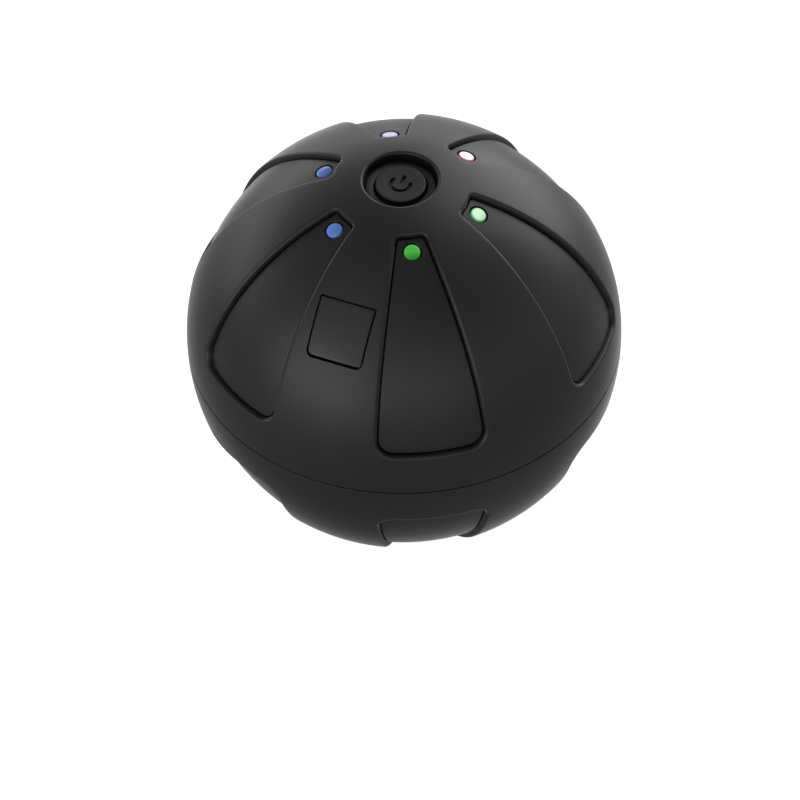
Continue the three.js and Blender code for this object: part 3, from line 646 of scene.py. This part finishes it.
def build_foot_cap():
    low = -FLOOR_Z
    deep = low - FOOT_RING_DEPTH
    corners = [(0, low, 0)]
    for reach in FOOT_RINGS:
        corners += [(reach - 0.45, low, FOOT_RING_CORNER), (reach - 0.35, deep, FOOT_RING_CORNER)]
        corners += [(reach - 0.1, deep, FOOT_RING_CORNER), (reach, low, FOOT_RING_CORNER)]
    corners += [(FOOT_CAP_R, low, 0.25), (FOOT_CAP_R, FOOT_CAP_TOP, 0.1), (0, FOOT_CAP_TOP, 0)]
    profile = [(max(r, 1e-4), -z) for r, z in rounded(corners, 4)]
    verts, faces = loops_to_faces(turned_loops(profile, 96))
    cap = make_piece("foot_pad", verts, faces)
    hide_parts("foot_cap")
    return cap


LENS_SLOTS = [
    "lens_green",
    "lens_pale_green",
    "lens_white",
    "lens_pale_blue",
    "lens_deep_blue",
    "lens_blue",
]


# ---- Materials ----


class Nodes:
    """A material's node tree, with short calls for the nodes it is made of."""

    def __init__(self, name):
        self.material = bpy.data.materials.new(name)
        self.material.use_nodes = True
        self.tree = self.material.node_tree
        self.shader = self.tree.nodes["Principled BSDF"]
        self.point = self.add("ShaderNodeTexCoord").outputs["Object"]

    def add(self, kind, inputs=(), **settings):
        node = self.tree.nodes.new(kind)
        for key, value in settings.items():
            setattr(node, key, value)
        for key, value in dict(inputs).items():
            self.feed(node.inputs[key], value)
        return node

    def feed(self, socket, value):
        """Links an output to a socket, or sets the socket to a value."""
        if isinstance(value, bpy.types.NodeSocket):
            self.tree.links.new(value, socket)
        elif isinstance(value, tuple) and len(value) == 3 and socket.type == "RGBA":
            socket.default_value = (*value, 1)
        else:
            socket.default_value = value

    def maths(self, operation, *values, clamp=False):
        node = self.add("ShaderNodeMath", enumerate(values), operation=operation, use_clamp=clamp)
        return node.outputs[0]

    def ramp(self, value, low, high, to_low=0.0, to_high=1.0):
        """Maps low..high smoothly to to_low..to_high."""
        keys = {"Value": value, "From Min": low, "From Max": high, "To Min": to_low, "To Max": to_high}
        node = self.add("ShaderNodeMapRange", keys, interpolation_type="SMOOTHSTEP")
        return node.outputs["Result"]

    def noise(self, scale, detail=3.0, roughness=0.5):
        keys = {"Vector": self.point, "Scale": scale, "Detail": detail, "Roughness": roughness}
        return self.add("ShaderNodeTexNoise", keys).outputs["Fac"]

    def radius(self):
        """How far a point lies from the centre of the ball."""
        node = self.add("ShaderNodeVectorMath", {0: self.point}, operation="LENGTH")
        return node.outputs["Value"]

    def axes(self):
        return self.add("ShaderNodeSeparateXYZ", {"Vector": self.point}).outputs

    def hypotenuse(self, a, b):
        squares = self.maths("ADD", self.maths("POWER", a, 2.0), self.maths("POWER", b, 2.0))
        return self.maths("SQRT", squares)

    def along(self, direction):
        """How far a point lies along a direction."""
        node = self.add("ShaderNodeVectorMath", {0: self.point, 1: direction}, operation="DOT_PRODUCT")
        return node.outputs["Value"]

    def past(self, direction, middle, half, fade=0.06):
        """1 where a point lies further than half from the middle along a direction, in mm."""
        offset = self.maths("SUBTRACT", self.along(direction), middle * MM)
        distance = self.maths("ABSOLUTE", offset)
        return self.ramp(distance, half * MM, (half + fade) * MM)

    def roughness(self, patches, low, high):
        return self.ramp(patches, 0.3, 0.7, low, high)

    def mix(self, share, low, high):
        node = self.add("ShaderNodeMix", data_type="RGBA")
        self.feed(node.inputs["Factor"], share)
        self.feed(node.inputs[6], low)
        self.feed(node.inputs[7], high)
        return node.outputs[2]

    def bump(self, height, depth_mm, strength=1.0):
        keys = {"Height": height, "Distance": depth_mm * MM, "Strength": strength}
        return self.add("ShaderNodeBump", keys).outputs["Normal"]

    def set(self, **values):
        """Sets or links the shader's sockets. Underscores stand for spaces."""
        for key, value in values.items():
            self.feed(self.shader.inputs[key.replace("_", " ")], value)
        return self.material


def grey(level, tint=(1.0, 1.0, 1.0)):
    return tuple(level * t for t in tint)


RUBBER_TINT = (0.95, 1.0, 0.98)
SHEEN = 0.9  # the soft-touch rubber brightens towards the edge of the ball
SHEEN_ROUGHNESS = 0.25
SPECULAR = 0.5
GAP_SPECULAR_LOSS = 0.4  # how much less a wall in a narrow gap, or on the button well's wall, shines: painted shade
# Painted shade: near-black colour for the walls of the port's hole, the petals' foot grooves, the lens
# holes' walls and the cover's sides
GAP_PAINTED_SHADE = 0.003
# Painted shade: near-black colour inside the button well, and within the same reach round the foot
# underneath
WELL_PAINTED_SHADE = 0.004
SKIN_BUMP = 0.0028  # mm
RUBBER_BUMP = 0.012
LINE_PITCH = 0.58
ROW_PITCH = 0.9
ROW_SHARE = 0.35  # height of the rows beside the lines'


def skin_material():
    """Soft-touch rubber: fine lines on the ribs, smooth satin floors, and painted shade, near black and
    without sheen, in the gaps and the button well.
    """
    n = Nodes("skin_rubber")
    radius = n.radius()
    rib = n.ramp(radius, (BALL_R - 0.35) * MM, (BALL_R - 0.03) * MM)
    pattern = rib_pattern(n)
    outside_well, painted_shade, painted_gap_shade = skin_shades(n, radius)
    patches = n.noise(60, 2)
    grain = n.noise(2600, 2, 0.6)
    rib_colour = n.mix(patches, grey(0.0095, RUBBER_TINT), grey(0.012, RUBBER_TINT))
    floor_colour = n.mix(patches, grey(0.009, RUBBER_TINT), grey(0.011, RUBBER_TINT))
    colour = n.mix(rib, floor_colour, rib_colour)
    # Painted shade: near black in the button well and in the gaps.
    colour = n.mix(outside_well, grey(WELL_PAINTED_SHADE), colour)
    colour = n.mix(painted_gap_shade, colour, grey(GAP_PAINTED_SHADE))
    rough = n.add("ShaderNodeMix", data_type="FLOAT")
    n.feed(rough.inputs[0], rib)
    n.feed(rough.inputs[2], n.roughness(patches, 0.38, 0.43))
    n.feed(rough.inputs[3], n.roughness(patches, 0.41, 0.46))
    height = n.maths("ADD", n.maths("MULTIPLY", pattern, rib), n.maths("MULTIPLY", grain, 0.6))
    # The sheen is left off where shade is painted.
    open_skin = n.maths("SUBTRACT", outside_well, painted_gap_shade, clamp=True)
    return n.set(
        Base_Color=colour,
        Roughness=rough.outputs[0],
        Specular_IOR_Level=specular(n, painted_shade),
        Sheen_Weight=n.maths("MULTIPLY", open_skin, SHEEN),
        Sheen_Roughness=SHEEN_ROUGHNESS,
        Normal=n.bump(height, SKIN_BUMP),
    )


def specular(n, painted_shade):
    """The shine of rubber, turned down where shade is painted."""
    return n.maths("SUBTRACT", SPECULAR, n.maths("MULTIPLY", painted_shade, GAP_SPECULAR_LOSS))


def skin_shades(n, radius):
    """Masks: where the skin lies outside the button well; where painted shade makes it shine less, on
    the well's wall and in the gaps; and the gaps, where shade is painted near black.
    """
    axes = n.axes()
    reach = n.hypotenuse(axes["X"], axes["Y"])
    outside_well = n.ramp(reach, (WELL_R - 0.15) * MM, (WELL_R + 0.25) * MM)
    outside_floor = n.ramp(reach, (WELL_R - 0.5) * MM, (WELL_R - 0.25) * MM)
    well_wall = n.maths("SUBTRACT", outside_floor, outside_well)

    across, up = port_sides()
    margin = 0.1
    hole_middle = (COVER_GAP - COVER_FOOT_GAP) / 2
    hole_half = (COVER_H + COVER_GAP + COVER_FOOT_GAP) / 2
    outside_port = n.maths(
        "MAXIMUM",
        n.past(across, 0, COVER_W / 2 + COVER_GAP + margin),
        n.past(up, hole_middle, hole_half + margin),
    )
    below_surface = n.ramp(radius, (BALL_R - 0.12) * MM, (BALL_R - 0.03) * MM, 1.0, 0.0)
    port_wall = n.maths("MULTIPLY", n.maths("SUBTRACT", 1.0, outside_port), below_surface)

    floor_r = BALL_R - PETAL_DEPTH
    below_floor = n.ramp(radius, (floor_r - 0.12) * MM, (floor_r - 0.04) * MM, 1.0, 0.0)
    groove = n.maths("MULTIPLY", below_floor, outside_well)
    # Painted shade, near black: the port hole's walls, and everything deeper than the petals' floors
    # outside the well, such as their foot grooves and the lens holes.
    painted_gap_shade = n.maths("MAXIMUM", port_wall, groove)
    return outside_well, n.maths("MAXIMUM", well_wall, painted_gap_shade), painted_gap_shade


def port_sides():
    """Directions across and up the port, in the ball's frame."""
    place = facing(PORT_POLAR, PORT_AZIMUTH).transposed()
    return tuple(place[0][:3]), tuple(place[1][:3])


def rib_pattern(n):
    """Fine lines that run down each rib, crossed by fainter rows: height from 0 to 1."""
    axes = n.axes()
    azimuth = n.maths("ARCTAN2", axes["X"], n.maths("MULTIPLY", axes["Y"], -1.0))
    folded = n.maths("PINGPONG", azimuth, math.radians(PETAL_STEP / 2))
    from_middle = n.maths("SUBTRACT", math.radians(PETAL_STEP / 2), folded)
    reach = n.hypotenuse(axes["X"], axes["Y"])
    beside = n.maths("MULTIPLY", from_middle, reach)
    polar = n.maths("ARCTAN2", reach, axes["Z"])
    lines = n.maths("SINE", n.maths("MULTIPLY", beside, 2 * math.pi / (LINE_PITCH * MM)))
    rows = n.maths("SINE", n.maths("MULTIPLY", polar, 2 * math.pi * BALL_R / ROW_PITCH))
    both = n.maths("ADD", lines, n.maths("MULTIPLY", rows, ROW_SHARE))
    return n.ramp(both, -1 - ROW_SHARE, 1 + ROW_SHARE)


def cover_material():
    """The skin's rubber without lines, with painted shade on the sides that stand in the gap."""
    n = Nodes("cover_rubber")
    patches = n.noise(120, 2)
    grain = n.noise(2600, 2, 0.6)
    colour = n.mix(patches, grey(0.0105, RUBBER_TINT), grey(0.013, RUBBER_TINT))
    across, up = port_sides()
    margin = 0.05
    # Painted shade: the cover's sides, which stand in the gap, are near black, shine less and have no
    # sheen.
    sides = n.maths(
        "MAXIMUM",
        n.past(across, 0, COVER_W / 2 - margin),
        n.past(up, 0, COVER_H / 2 - margin),
    )
    return n.set(
        Base_Color=n.mix(sides, colour, grey(GAP_PAINTED_SHADE)),
        Roughness=n.roughness(patches, 0.38, 0.43),
        Specular_IOR_Level=specular(n, sides),
        Sheen_Weight=n.maths("MULTIPLY", n.maths("SUBTRACT", 1.0, sides), SHEEN),
        Sheen_Roughness=SHEEN_ROUGHNESS,
        Normal=n.bump(grain, RUBBER_BUMP),
    )


def button_material():
    """Finer grained rubber with no sheen."""
    n = Nodes("button_rubber")
    patches = n.noise(200, 2)
    grain = n.noise(4200, 2, 0.6)
    colour = n.mix(patches, grey(0.0135), grey(0.016))
    return n.set(
        Base_Color=colour,
        Roughness=n.roughness(patches, 0.4, 0.46),
        Normal=n.bump(grain, RUBBER_BUMP),
    )


def foot_material():
    """Dull, coarse grained rubber."""
    n = Nodes("foot_rubber")
    patches = n.noise(150, 3)
    grain = n.noise(1800, 3, 0.6)
    colour = n.mix(patches, grey(0.014), grey(0.022))
    return n.set(
        Base_Color=colour,
        Roughness=n.roughness(patches, 0.62, 0.75),
        Normal=n.bump(grain, 0.03),
    )


LENS_CORE = 0.62  # the core's colour reaches this share of the radius before it turns into the rim's
LENS_RIM = 0.82  # and the rim's before it turns into the edge's
LENS_OUTER = 0.95
LENS_UNLIT = 0.1  # share of the glow's colour in the lens's own


def lens_material(slot, k, core, rim, edge, glow, lean):
    """A lit lens: its face glows, darker towards one side and in other colours towards its edge."""
    n = Nodes(slot)
    place = facing(LAMP_POLAR, k * PETAL_STEP).transposed()
    side, up, out = (n.along(tuple(place[row][:3])) for row in range(3))
    reach = n.hypotenuse(side, up)
    share = n.ramp(reach, LENS_CORE * LENS_R * MM, LENS_OUTER * LENS_R * MM)
    outermost = n.ramp(reach, LENS_RIM * LENS_R * MM, LENS_OUTER * LENS_R * MM)
    cloud = n.ramp(n.noise(900, 2), 0.35, 0.65, 0.0, 0.22)
    colour = n.mix(n.maths("ADD", share, cloud, clamp=True), core, rim)
    colour = n.mix(outermost, colour, edge)
    face = BALL_R - PETAL_DEPTH - LENS_SUNK
    lit = n.ramp(out, (face - 0.3) * MM, (face - 0.02) * MM, 0.12, 1.0)
    leaning = n.maths("ADD", n.maths("MULTIPLY", side, lean[0]), n.maths("MULTIPLY", up, lean[1]))
    shade = n.ramp(leaning, -0.2 * LENS_R * MM, LENS_R * MM, glow, glow * lean[2])
    unlit = [tuple(c * LENS_UNLIT for c in colour) for colour in (core, rim)]
    return n.set(
        Base_Color=n.mix(share, *unlit),
        Emission_Color=colour,
        Emission_Strength=n.maths("MULTIPLY", lit, shade),
        Roughness=0.2,
    )


def plastic_material(name, colour, rough):
    """Moulded plastic with a fine spark-eroded grain."""
    n = Nodes(name)
    patches = n.noise(90, 2)
    grain = n.noise(1500, 2, 0.6)
    lighter = tuple(c * 1.25 for c in colour)
    return n.set(
        Base_Color=n.mix(patches, colour, lighter),
        Roughness=n.roughness(patches, rough - 0.05, rough + 0.05),
        Normal=n.bump(grain, 0.015),
    )


def metal_material(name, colour, rough, streaks=(40, 40, 900)):
    """Metal with fine turning or drawing marks."""
    n = Nodes(name)
    stretch = n.add("ShaderNodeVectorMath", {0: n.point, 1: streaks}, operation="MULTIPLY")
    keys = {"Vector": stretch.outputs["Vector"], "Scale": 8.0, "Detail": 3.0}
    marks = n.add("ShaderNodeTexNoise", keys).outputs["Fac"]
    darker = tuple(c * 0.82 for c in colour)
    return n.set(
        Base_Color=n.mix(marks, darker, colour),
        Metallic=1.0,
        Roughness=n.roughness(marks, rough - 0.07, rough + 0.07),
        Normal=n.bump(marks, 0.004),
    )


def board_material():
    """Green lacquer over copper tracks."""
    n = Nodes("circuit_board")
    cells = n.add("ShaderNodeTexBrick", {"Vector": n.point, "Scale": 420.0, "Mortar Size": 0.03})
    tracks = cells.outputs["Fac"]
    spots = n.noise(500, 2)
    green = n.mix(spots, (0.008, 0.075, 0.032), (0.012, 0.10, 0.045))
    return n.set(
        Base_Color=n.mix(tracks, green, (0.03, 0.16, 0.08)),
        Roughness=n.roughness(spots, 0.28, 0.4),
        Normal=n.bump(tracks, 0.03),
    )


def wrap_material():
    """Shrink-wrapped cell sleeve."""
    n = Nodes("cell_wrap")
    folds = n.noise(160, 3)
    return n.set(
        Base_Color=n.mix(folds, (0.02, 0.12, 0.30), (0.03, 0.17, 0.38)),
        Roughness=n.roughness(folds, 0.2, 0.32),
        Normal=n.bump(folds, 0.05),
    )


LENS_LOOKS = [
    # core, rim, edge, glow, and the side that is darker (across, up, how bright there)
    ((0.045, 0.40, 0.045), (0.09, 0.42, 0.07), (0.03, 0.30, 0.03), 1.0, (0.0, -1.0, 0.35)),
    ((0.66, 0.86, 0.62), (0.36, 0.74, 0.42), (0.05, 0.34, 0.12), 0.95, (0.3, -1.0, 0.8)),
    ((0.98, 0.94, 0.93), (0.90, 0.80, 0.79), (0.36, 0.09, 0.09), 1.0, (0.0, 1.0, 1.0)),
    ((0.50, 0.53, 0.72), (0.40, 0.43, 0.66), (0.12, 0.15, 0.38), 0.95, (0.0, 1.0, 1.0)),
    ((0.05, 0.12, 0.37), (0.08, 0.18, 0.47), (0.04, 0.10, 0.34), 0.9, (-0.4, 1.0, 0.7)),
    ((0.075, 0.17, 0.46), (0.12, 0.21, 0.56), (0.06, 0.12, 0.40), 0.9, (0.6, 1.0, 0.75)),
]


def make_materials():
    made = {
        "skin": skin_material(),
        "port_cover": cover_material(),
        "button": button_material(),
        "foot": foot_material(),
        "seal": plastic_material("seal_rubber", grey(0.012), 0.6),
        "shell": plastic_material("shell_plastic", grey(0.02), 0.5),
        "chassis": plastic_material("chassis_plastic", grey(0.04), 0.5),
        "socket_tongue": plastic_material("tongue_plastic", grey(0.012), 0.4),
        "lamp": plastic_material("lamp_plastic", (0.72, 0.70, 0.58), 0.35),
        "circuit_board": board_material(),
        "steel": metal_material("steel", (0.62, 0.63, 0.65), 0.32),
        "weight_metal": metal_material("weight_metal", (0.42, 0.43, 0.45), 0.42),
        "copper": metal_material("copper", (0.80, 0.42, 0.24), 0.34),
        "magnet": plastic_material("magnet_ferrite", grey(0.035), 0.6),
        "cell_wrap": wrap_material(),
        "lead_red": plastic_material("lead_red", (0.42, 0.02, 0.025), 0.4),
        "lead_black": plastic_material("lead_black", grey(0.012), 0.4),
    }
    for k, (slot, look) in enumerate(zip(LENS_SLOTS, LENS_LOOKS)):
        made[slot] = lens_material(slot, k, *look)
    return made


def dress(materials):
    """Gives every CAD node the material of its slot."""
    slots = {part["node"]: part["material_slot"] for part in frame["record"]["subparts"]}
    for name, node in frame["nodes"].items():
        set_material(node, materials[slots[name]])


def set_material(piece, material):
    piece.data.materials.clear()
    piece.data.materials.append(material)


# ---- Stage, lights and camera ----

FLOOR_CLEARANCE = 0.02 * MM  # keeps the floor from lying in the foot's own surface
CAMERA_ELEVATION = 46.71
CAMERA_AZIMUTH = -6.71
CAMERA_DISTANCE = 21.79 * BALL_R
CAMERA_ROLL = -1.38
CAMERA_LENS = 212.9
CAMERA_AIM = (-0.05, -0.84)  # degrees that the camera points to the side of and below the centre

FLOOR_HALF = 2.5  # metres
FLOOR_GREY = 0.5
FLOOR_GLOW = 0.9  # only in the camera's eyes, so that the floor looks white
WORLD_FADE = 0.9  # height, of 1, at which the surroundings reach their brightness overhead
WORLD_LOW = 0.6  # brightness of the surroundings at the horizon
WORLD_HIGH = 0.2  # and overhead

PANEL_DISTANCE = 0.95  # metres
# Soft panels that face the ball: azimuth, elevation, width, height, brightness.
PANELS = {
    "key_high": (135, 50, 0.55, 0.4, 1.75),
    "key_low": (135, 16, 0.75, 0.68, 2.3),
    "rim_back": (180, 6, 0.75, 0.32, 1.3),
    "rim_back_left": (225, 6, 0.75, 0.32, 1.6),
    "fill_left_low": (-52, 10, 0.75, 0.55, 2.0),
    "fill_left_high": (-45, 50, 0.55, 0.4, 0.5),
    "front": (0, 18, 0.7, 0.5, 0.52),
}


def build_stage():
    """A pale floor that looks white to the camera, and mid-grey in reflections."""
    z = FLOOR_Z * MM - FLOOR_CLEARANCE
    signs = ((-1, -1), (1, -1), (1, 1), (-1, 1))
    corners = [(x * FLOOR_HALF, y * FLOOR_HALF, z) for x, y in signs]
    mesh = bpy.data.meshes.new("floor")
    mesh.from_pydata(corners, [], [(0, 1, 2, 3)])
    floor = bpy.data.objects.new("floor", mesh)
    bpy.context.collection.objects.link(floor)
    n = Nodes("floor_white")
    seen = n.add("ShaderNodeLightPath").outputs["Is Camera Ray"]
    n.set(
        Base_Color=grey(FLOOR_GREY),
        Roughness=0.9,
        Specular_IOR_Level=0.0,
        Emission_Color=(1.0, 1.0, 1.0),
        Emission_Strength=n.maths("MULTIPLY", seen, FLOOR_GLOW),
    )
    set_material(floor, n.material)


def build_world():
    """Plain surroundings, paler at the horizon than overhead, that look white to the camera."""
    world = bpy.data.worlds.new("studio")
    bpy.context.scene.world = world
    world.use_nodes = True
    tree = world.node_tree
    direction = tree.nodes.new("ShaderNodeTexCoord").outputs["Generated"]
    axes = tree.nodes.new("ShaderNodeSeparateXYZ")
    tree.links.new(direction, axes.inputs[0])
    fade = tree.nodes.new("ShaderNodeMapRange")
    fade.interpolation_type = "SMOOTHSTEP"
    tree.links.new(axes.outputs["Z"], fade.inputs["Value"])
    fade.inputs["From Max"].default_value = WORLD_FADE
    fade.inputs["To Min"].default_value = WORLD_LOW
    fade.inputs["To Max"].default_value = WORLD_HIGH
    strength = tree.nodes.new("ShaderNodeMath")
    strength.operation = "MAXIMUM"
    tree.links.new(fade.outputs["Result"], strength.inputs[0])
    tree.links.new(tree.nodes.new("ShaderNodeLightPath").outputs["Is Camera Ray"], strength.inputs[1])
    background = tree.nodes["Background"]
    background.inputs["Color"].default_value = (1, 1, 1, 1)
    tree.links.new(strength.outputs[0], background.inputs["Strength"])


def panel(name, azimuth, elevation, width, height, brightness):
    """A soft light panel that faces the ball and that the camera doesn't see."""
    light = bpy.data.lights.new(name, "AREA")
    light.shape = "RECTANGLE"
    light.size = width
    light.size_y = height
    light.energy = brightness * math.pi * width * height
    lamp = bpy.data.objects.new(name, light)
    lamp.location = on_ball(PANEL_DISTANCE, 90 - elevation, azimuth)
    lamp.rotation_euler = lamp.location.to_track_quat("Z", "Y").to_euler()
    lamp.visible_camera = False
    bpy.context.collection.objects.link(lamp)


def build_lights():
    build_world()
    for name, settings in PANELS.items():
        panel(name, *settings)


def build_camera():
    eye = on_ball(CAMERA_DISTANCE * MM, 90 - CAMERA_ELEVATION, CAMERA_AZIMUTH)
    data = bpy.data.cameras.new("camera")
    data.lens = CAMERA_LENS
    data.sensor_width = 36
    camera = bpy.data.objects.new("camera", data)
    camera.location = eye
    turn = eye.to_track_quat("Z", "Y")
    side, down = (math.radians(angle) for angle in CAMERA_AIM)
    roll = math.radians(CAMERA_ROLL)
    aim = Matrix.Rotation(-side, 3, "Y") @ Matrix.Rotation(down, 3, "X")
    local = Matrix.Rotation(roll, 3, "Z") @ aim
    camera.rotation_euler = (turn.to_matrix() @ local).to_euler()
    bpy.context.collection.objects.link(camera)
    bpy.context.scene.camera = camera


# ---- The object ----

build_camera()
materials = make_materials()
dress(materials)
for skin in build_skins():
    set_material(skin, materials["skin"])
set_material(build_port_cover(), materials["port_cover"])
set_material(build_button(), materials["button"])
set_material(build_foot_cap(), materials["foot"])
for slot, lens in zip(LENS_SLOTS, build_lenses()):
    set_material(lens, materials[slot])
build_stage()
build_lights()
bpy.context.scene.view_settings.view_transform = "Standard"
